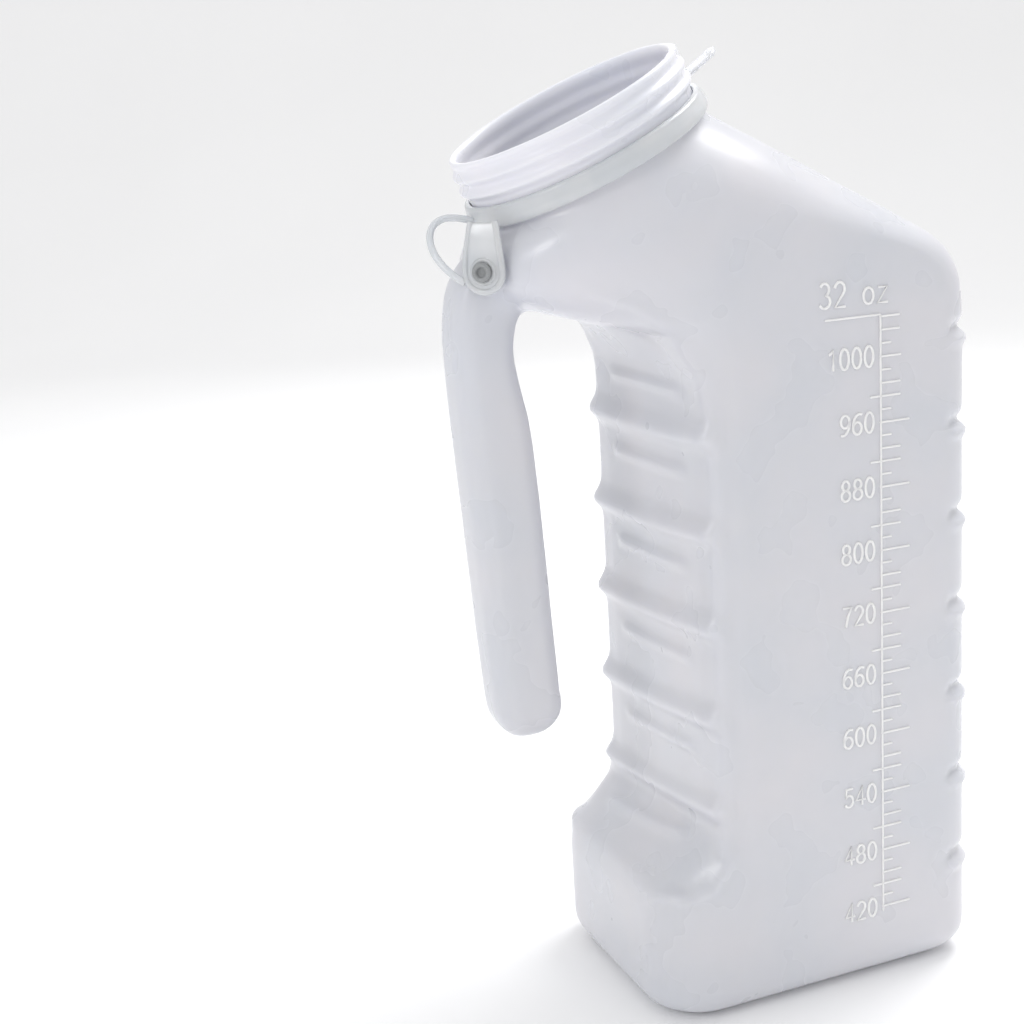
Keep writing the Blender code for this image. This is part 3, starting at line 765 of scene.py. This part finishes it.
def make_cap_tab(material):
    """The finger tab: a flat tongue with a round end and a low rib near its tip."""
    way = NECK_SIDE * math.cos(TAB_TURN) + ACROSS * math.sin(TAB_TURN)
    wide = NECK_UP.cross(way)
    line = (way * math.cos(TAB_DROOP) + NECK_UP * math.sin(TAB_DROOP)).normalized()
    root = RIM + NECK_UP * (GAP + CAP_TOP / 2) + way * (CAP_OUTSIDE - TAB_ROOT)
    lift = wide.cross(line).normalized()
    rings = []
    for along in np.linspace(0.0, 1.0, 25):
        end = max(0.0, (along - 0.55) / 0.45)
        half = TAB_WIDTH * (0.55 - 0.05 * along) * math.sqrt(max(0.0004, 1.0 - end ** 2.6))
        thick = 0.00070 + 0.00035 * float(bell(along - 0.84, 0.08))
        lifted = lift * (0.0008 * along * along)
        ring = []
        for angle in np.radians(np.arange(0.0, 360.0, 10.0)):
            flat = math.copysign(abs(math.cos(angle)) ** 0.45, math.cos(angle))
            ring.append(root + line * (TAB_LENGTH * along) + wide * (half * flat) + lifted
                        + lift * (thick * math.sin(angle)))
        rings.append(ring)
    tab = mesh_from(loft(rings), "cap_tab", 60.0)
    tab.transform(OPENED)
    finish_piece("cap_tab", tab, "cap_body", "cap", material)


def make_cap_hinge_arms(material):
    """The cap's two knuckles, each with an arm into its skirt."""
    skirt = RIM - NECK_UP * (CAP_SKIRT - 0.0016)
    inward = skirt + HINGE_OUT * (oval_reach(CAP_INSIDE) + CAP_WALL * 0.35) - PIVOT
    way = inward.normalized()
    arms = []
    for side in (-1.0, 1.0):
        at = PIVOT + HINGE_AXIS * side * HINGE_LENGTH * END_KNUCKLE_AT
        arms.append(rounded_block("arm", at + inward / 2, (HINGE_AXIS, way, HINGE_AXIS.cross(way)),
                                  (HINGE_LENGTH * END_KNUCKLE, inward.length, ARM_THICK), ARM_BEVEL))
        arms.append(knuckle("barrel", at, HINGE_LENGTH * END_KNUCKLE))
    mesh = join_meshes("cap_hinge_arms", arms)
    mesh.transform(OPENED)
    finish_piece("cap_hinge_arms", mesh, "cap_body", "cap", material)


# ---------------------------------------------------------------- the moulded scale
SCALE_X = 0.0175
SCALE_TOP_Z = 0.1875
SCALE_FOOT_Z = 0.0205
FIRST_MARK_Z = 0.1767
MARK_PITCH = 0.01718
MARKS = ("1000", "960", "880", "800", "720", "660", "600", "540", "480", "420")
DIGIT_SIZE = 0.0058
OUNCE_SIZE = 0.0068
STROKE_RADIUS = 0.00038
MARK_RISE = 0.00034
LINE_WIDTH = 0.00055
# The small lines between two numbers: share of the pitch, reach to the right, reach to the left.
BETWEEN_MARKS = ((0.2, 0.0032, 0.0), (0.4, 0.0060, 0.0), (0.6, 0.0060, 0.0032), (0.8, 0.0032, 0.0))


def bar(low_x, high_x, low_z, high_z):
    """A rounded raised bar on the near face."""
    solid = bmesh.new()
    size = (high_x - low_x, MARK_RISE * 2, high_z - low_z)
    centre = Vector(((low_x + high_x) / 2, -HALF_THICK, (low_z + high_z) / 2))
    bmesh.ops.create_cube(solid, size=1.0, matrix=Matrix.Translation(centre) @ Matrix.Diagonal((*size, 1.0)))
    bmesh.ops.bevel(solid, geom=solid.edges[:], offset=min(size) * 0.3, segments=2, affect="EDGES",
                    profile=0.5)
    return mesh_from(solid, "bar", 60.0)


def arc(centre_x, centre_z, radius_x, radius_z, start, end):
    """Points along an arc, in degrees, in a letter's unit height."""
    count = 3 + int(abs(end - start) / 20)
    return [(centre_x + radius_x * math.cos(a), centre_z + radius_z * math.sin(a))
            for a in np.radians(np.linspace(start, end, count))]


GLYPHS = {
    "0": [arc(0.28, 0.50, 0.22, 0.46, 0, 360)],
    "1": [[(0.12, 0.76), (0.24, 0.84), (0.33, 0.96), (0.33, 0.04)]],
    "2": [arc(0.28, 0.70, 0.21, 0.26, 170, -35) + [(0.07, 0.04), (0.51, 0.04)]],
    "3": [arc(0.26, 0.73, 0.19, 0.23, 155, -80), arc(0.26, 0.28, 0.23, 0.24, 85, -155)],
    "4": [[(0.38, 0.04), (0.38, 0.96), (0.04, 0.30), (0.54, 0.30)]],
    "5": [[(0.48, 0.95), (0.15, 0.95), (0.10, 0.52)] + arc(0.27, 0.34, 0.23, 0.29, 125, -150)],
    "6": [arc(0.28, 0.32, 0.22, 0.28, 0, 360), arc(0.40, 0.38, 0.34, 0.57, 185, 70)],
    "7": [[(0.05, 0.95), (0.52, 0.95), (0.32, 0.52), (0.22, 0.04)]],
    "8": [arc(0.28, 0.73, 0.18, 0.22, 0, 360), arc(0.28, 0.27, 0.22, 0.24, 0, 360)],
    "9": [arc(0.28, 0.68, 0.22, 0.28, 0, 360), arc(0.16, 0.62, 0.34, 0.57, 5, -110)],
    "o": [arc(0.27, 0.34, 0.22, 0.30, 0, 360)],
    "z": [[(0.06, 0.62), (0.46, 0.62), (0.04, 0.04), (0.48, 0.04)]],
    " ": [],
}
ADVANCE = 0.63


def raised_text(words, right, z, size):
    """Numbers drawn as rounded raised strokes on the near face, ending at x = right."""
    drawn = bpy.data.curves.new("strokes", "CURVE")
    drawn.dimensions = "3D"
    drawn.bevel_depth = STROKE_RADIUS
    drawn.bevel_resolution = 2
    drawn.use_fill_caps = True
    left = right - size * (ADVANCE * (len(words) - 1) + 0.54)
    for i, letter in enumerate(words):
        for stroke in GLYPHS[letter]:
            line = drawn.splines.new("POLY")
            line.points.add(len(stroke) - 1)
            for knot, (x, up) in zip(line.points, stroke):
                knot.co = (left + size * (ADVANCE * i + x), -HALF_THICK, z + size * (up - 0.5), 1.0)
    holder = link("strokes", drawn)
    graph = bpy.context.evaluated_depsgraph_get()
    mesh = bpy.data.meshes.new_from_object(holder.evaluated_get(graph))
    bpy.data.objects.remove(holder)
    return mesh


def make_scale(material):
    half = LINE_WIDTH / 2
    lines = [bar(SCALE_X - half, SCALE_X + half, SCALE_FOOT_Z, SCALE_TOP_Z)]
    lines.append(bar(SCALE_X - 0.0165, SCALE_X, SCALE_TOP_Z - half, SCALE_TOP_Z + half))
    texts = [raised_text("32 oz", SCALE_X + 0.0026, SCALE_TOP_Z + 0.0062, OUNCE_SIZE)]

    def tick(z, right, left=0.0):
        lines.append(bar(SCALE_X - left, SCALE_X + right, z - half, z + half))

    for i in range(1, 4):
        tick(FIRST_MARK_Z + i * MARK_PITCH / 5, 0.0032 if i < 2 else 0.0058)
    for i, words in enumerate(MARKS):
        z = FIRST_MARK_Z - i * MARK_PITCH
        tick(z, 0.0088 if i else 0.0062, 0.0004)
        texts.append(raised_text(words, SCALE_X - 0.0020, z + 0.0004, DIGIT_SIZE))
        if i < len(MARKS) - 1:
            for share, right, left in BETWEEN_MARKS:
                tick(z - share * MARK_PITCH, right, left)
    finish_piece("scale_lines", join_meshes("scale_lines", lines), "bottle_body", "vessel head",
                 material)
    finish_piece("scale_numbers", join_meshes("scale_numbers", texts), "bottle_body", "vessel head",
                 material)


# ---------------------------------------------------------------- studio
AIM = Vector((0.0, 0.0, 0.1153))        # the point that sits at FRAME_PLACE in the picture
CAMERA_AZIMUTH = math.radians(-30.02)
CAMERA_HEIGHT_ANGLE = math.radians(16.12)
CAMERA_REACH = 0.4575
CAMERA_ROLL = math.radians(-1.26)
CAMERA_LENS = 56.36
FRAME_PLACE = (0.2365, -0.0515)         # right of and below the picture's centre, in frame widths


def make_floor():
    """A floor that sweeps up into a plain wall behind the object."""
    way = Vector((-math.sin(CAMERA_AZIMUTH), math.cos(CAMERA_AZIMUTH), 0.0))
    across = Vector((way.y, -way.x, 0.0))
    line = [(-4.0, 0.0), (1.2, 0.0)]
    line += [(1.2 + 0.8 * math.sin(a), 0.8 - 0.8 * math.cos(a))
             for a in np.radians(np.arange(5.0, 91.0, 5.0))]
    line.append((2.0, 3.0))
    sweep = bmesh.new()
    rows = [[sweep.verts.new(way * back + across * side + Vector((0.0, 0.0, up - 0.0002)))
             for side in (-4.0, 4.0)] for back, up in line]
    for near, far in zip(rows, rows[1:]):
        sweep.faces.new((near[0], near[1], far[1], far[0]))
    floor = link("floor", mesh_from(sweep, "floor"))
    made, tree, shader = shader_material("pale_floor", (0.97, 0.97, 0.975), 0.85)
    texture = noise(tree, 3.0, 2.0)
    tint = ramp(tree, texture, ((0.4, (0.965, 0.965, 0.97)), (0.6, (0.975, 0.975, 0.98))))
    tree.links.new(tint.outputs["Color"], shader.inputs["Base Color"])
    floor.data.materials.append(made)


def area_light(name, at, aim, size, power, colour=(1.0, 1.0, 1.0)):
    light = bpy.data.lights.new(name, "AREA")
    light.shape = "DISK"
    light.size = size
    light.energy = power
    light.color = colour
    made = bpy.data.objects.new(name, light)
    bpy.context.scene.collection.objects.link(made)
    made.location = at
    made.rotation_euler = (Vector(aim) - Vector(at)).to_track_quat("-Z", "Y").to_euler()


def make_lights():
    world = bpy.data.worlds.new("studio")
    bpy.context.scene.world = world
    world.use_nodes = True
    sky = world.node_tree.nodes["Background"]
    sky.inputs["Color"].default_value = (1.0, 1.0, 1.0, 1.0)
    sky.inputs["Strength"].default_value = 0.82
    area_light("overhead", (0.45, 0.20, 1.0), (0.0, 0.0, 0.15), 0.55, 6.5)
    area_light("key_left", (-0.95, -0.35, 0.70), (-0.03, 0.0, 0.12), 0.30, 1.7)
    area_light("front_fill", (-0.10, -1.3, 0.55), (0.0, 0.0, 0.12), 0.6, 0.3)
    area_light("back_glow", (0.30, 0.95, 0.60), (0.0, 0.0, 0.12), 0.6, 0.6, (0.98, 0.99, 1.0))


def make_camera():
    data = bpy.data.cameras.new("camera")
    data.sensor_width = 36.0
    data.lens = CAMERA_LENS
    data.clip_start = 0.01
    camera = bpy.data.objects.new("camera", data)
    bpy.context.scene.collection.objects.link(camera)
    back = Vector((math.sin(CAMERA_AZIMUTH) * math.cos(CAMERA_HEIGHT_ANGLE),
                   -math.cos(CAMERA_AZIMUTH) * math.cos(CAMERA_HEIGHT_ANGLE), math.sin(CAMERA_HEIGHT_ANGLE)))
    straight = back.to_track_quat("Z", "Y") @ Matrix.Rotation(CAMERA_ROLL, 3, "Z").to_quaternion()
    reach = data.lens / data.sensor_width
    seen = Vector((FRAME_PLACE[0] / reach, FRAME_PLACE[1] / reach, -1.0)).normalized()
    pan = Vector((0.0, 0.0, -1.0)).rotation_difference(seen)
    camera.location = AIM + back * CAMERA_REACH
    camera.rotation_mode = "QUATERNION"
    camera.rotation_quaternion = straight @ pan.inverted()
    bpy.context.scene.camera = camera


def main():
    frosted = frosted_plastic()
    soft = clear_soft_plastic()
    lid = cap_plastic()
    grey = grey_plastic()
    scale_highlight_paint = scale_painted_highlight()
    make_body_shell(frosted)
    # the neck gets a lighter copy of the bottle plastic: painted light for its thinner wall
    make_neck(frosted_plastic("neck_painted_light_polyethylene", NECK_PAINTED_LIGHT_GAIN))
    # the scale's material carries a painted highlight: a whiter colour for the light the raised marks catch
    make_scale(scale_highlight_paint)
    make_ring(soft)
    make_lug(soft)
    make_strap(soft)
    make_stud(grey)
    make_tether_hinge(soft)
    make_cap_shell(lid)
    make_cap_tab(lid)
    make_cap_hinge_arms(lid)
    make_floor()
    make_lights()
    make_camera()
    bpy.context.scene.view_settings.view_transform = "Standard"


main()
